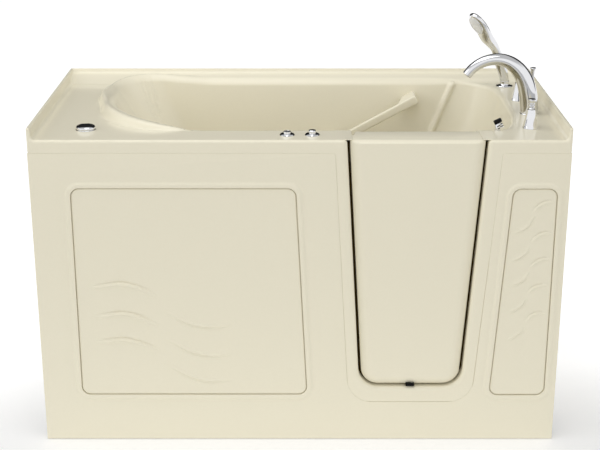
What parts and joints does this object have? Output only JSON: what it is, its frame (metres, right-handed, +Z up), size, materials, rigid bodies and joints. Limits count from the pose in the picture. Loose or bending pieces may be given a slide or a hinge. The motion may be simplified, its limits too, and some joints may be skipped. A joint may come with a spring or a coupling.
{
  "type": "walk-in air jetted bathtub",
  "caption": "Walk-in bathtub with air jets: moulded shell with seat, footwell, reclining headrest and inward door, deck taps with hand shower, front apron with access panels, on a steel frame.",
  "frame": {"origin": "on the floor under the middle of the tub's outline", "axes": "+X along the tub from the headrest end to the tap end, +Y from the front apron to the back wall, +Z up"},
  "size_m": [1.524, 0.762, 1.1872],
  "materials": {
    "gelcoat": "glossy biscuit gelcoat",
    "chrome": "polished chrome",
    "black_rubber": "matte black rubber",
    "black_plastic": "satin black plastic",
    "stainless": "brushed stainless steel",
    "galvanised": "grey zinc coat",
    "white_pvc": "white pvc",
    "grey_hose": "grey flexible hose",
    "clear_line": "translucent vinyl line",
    "grey_plastic": "moulded grey plastic",
    "plywood": "sealed plywood",
    "brass": "raw brass",
    "white_rubber": "pale silicone"
  },
  "bodies": {
    "tub": {"tub_shell": "gelcoat", "front_apron": "gelcoat", "panel_magnet_catches": "black_plastic", "hinge_jamb_leaves": "stainless", "hinge_pins": "stainless", "sill_weep": "black_rubber", "latch_base": "chrome", "grab_bar": "gelcoat", "button_bezels": "chrome", "air_intake_base": "chrome", "handle_escutcheons": "chrome", "mixer_valves": "brass", "spout": "chrome", "diverter_valve": "chrome", "deck_lock_nuts": "white_pvc", "mixer_pipes": "brass", "shower_dock": "chrome", "drain_flange": "chrome", "waste_pipe": "white_pvc", "overflow_plate": "chrome", "overflow_pipe": "white_pvc", "stopper_cable": "grey_plastic", "frame_base": "galvanised", "frame_uprights": "galvanised", "seat_supports": "galvanised", "footwell_support_blocks": "plywood", "levelling_feet": "black_rubber", "foot_lock_nuts": "galvanised", "equipment_tray": "plywood", "blower_housing": "grey_plastic", "blower_motor": "grey_plastic", "air_check_valve": "white_pvc", "air_manifold": "white_pvc", "air_hose": "grey_hose", "air_intake_hose": "grey_hose", "air_jets": "white_pvc", "control_box": "grey_plastic", "control_box_lid": "grey_plastic", "power_cable_gland": "black_plastic", "button_air_lines": "clear_line"},
    "door": {"door_panel": "gelcoat", "door_seal": "black_rubber", "hinge_door_leaves": "stainless", "latch_keeper": "stainless"},
    "latch": {"latch_lever": "chrome", "latch_grip": "black_plastic"},
    "left_panel": {"left_access_panel": "gelcoat"},
    "right_panel": {"right_access_panel": "gelcoat"},
    "jet_button": {"jet_button": "chrome"},
    "speed_button": {"speed_button": "chrome"},
    "intake_cap": {"air_intake_cap": "chrome"},
    "cold_tap": {"cold_handle": "chrome"},
    "hot_tap": {"hot_handle": "chrome"},
    "diverter": {"diverter_knob": "chrome"},
    "hand_shower": {"hand_shower": "chrome", "shower_spray_face": "white_rubber", "shower_hose": "stainless"},
    "stopper": {"drain_stopper": "chrome"},
    "overflow_knob": {"overflow_knob": "chrome"}
  },
  "joints": [
    {"name": "door_hinge", "type": "hinge", "parent": "tub", "child": "door", "pos_m": [0.117, -0.312, 0], "axis": [0, 0, 1], "range_deg": [0, 88]},
    {"name": "latch_turn", "type": "hinge", "parent": "tub", "child": "latch", "pos_m": [0.567, -0.268, 0.926], "axis": [0, -1, 0], "range_deg": [0, 90]},
    {"name": "left_panel_pull", "type": "slide", "parent": "tub", "child": "left_panel", "axis": [0, -1, 0], "range_m": [0, 0.06]},
    {"name": "right_panel_pull", "type": "slide", "parent": "tub", "child": "right_panel", "axis": [0, -1, 0], "range_m": [0, 0.06]},
    {"name": "jet_button_press", "type": "slide", "parent": "tub", "child": "jet_button", "axis": [0, 0, -1], "range_m": [0, 0.004], "stiffness_N_per_m": 400},
    {"name": "speed_button_press", "type": "slide", "parent": "tub", "child": "speed_button", "axis": [0, 0, -1], "range_m": [0, 0.004], "stiffness_N_per_m": 400},
    {"name": "intake_cap_twist", "type": "hinge", "parent": "tub", "child": "intake_cap", "pos_m": [-0.613, -0.265, 0.938], "axis": [0, 0, 1], "range_deg": [0, 90]},
    {"name": "cold_tap_turn", "type": "hinge", "parent": "tub", "child": "cold_tap", "pos_m": [0.664, -0.249, 0.99], "axis": [0, 0, 1], "range_deg": [0, 90]},
    {"name": "hot_tap_turn", "type": "hinge", "parent": "tub", "child": "hot_tap", "pos_m": [0.68, 0.079, 0.99], "axis": [0, 0, 1], "range_deg": [-90, 0]},
    {"name": "diverter_lift", "type": "slide", "parent": "tub", "child": "diverter", "axis": [0, 0, 1], "range_m": [0, 0.015]},
    {"name": "hand_shower_lift", "type": "slide", "parent": "tub", "child": "hand_shower", "axis": [0, 0, 1], "range_m": [0, 0.22]},
    {"name": "overflow_knob_turn", "type": "hinge", "parent": "tub", "child": "overflow_knob", "pos_m": [0.5957, 0.02, 0.73], "axis": [-0.9809, 0, 0.1946], "range_deg": [0, 120]},
    {"name": "stopper_lift", "type": "slide", "parent": "tub", "child": "stopper", "axis": [0, 0, 1], "range_m": [0, 0.012]}
  ],
  "couplings": [
    {"joint": "stopper_lift", "follows": "overflow_knob_turn", "m_per_rad": 0.0056341}
  ]
}
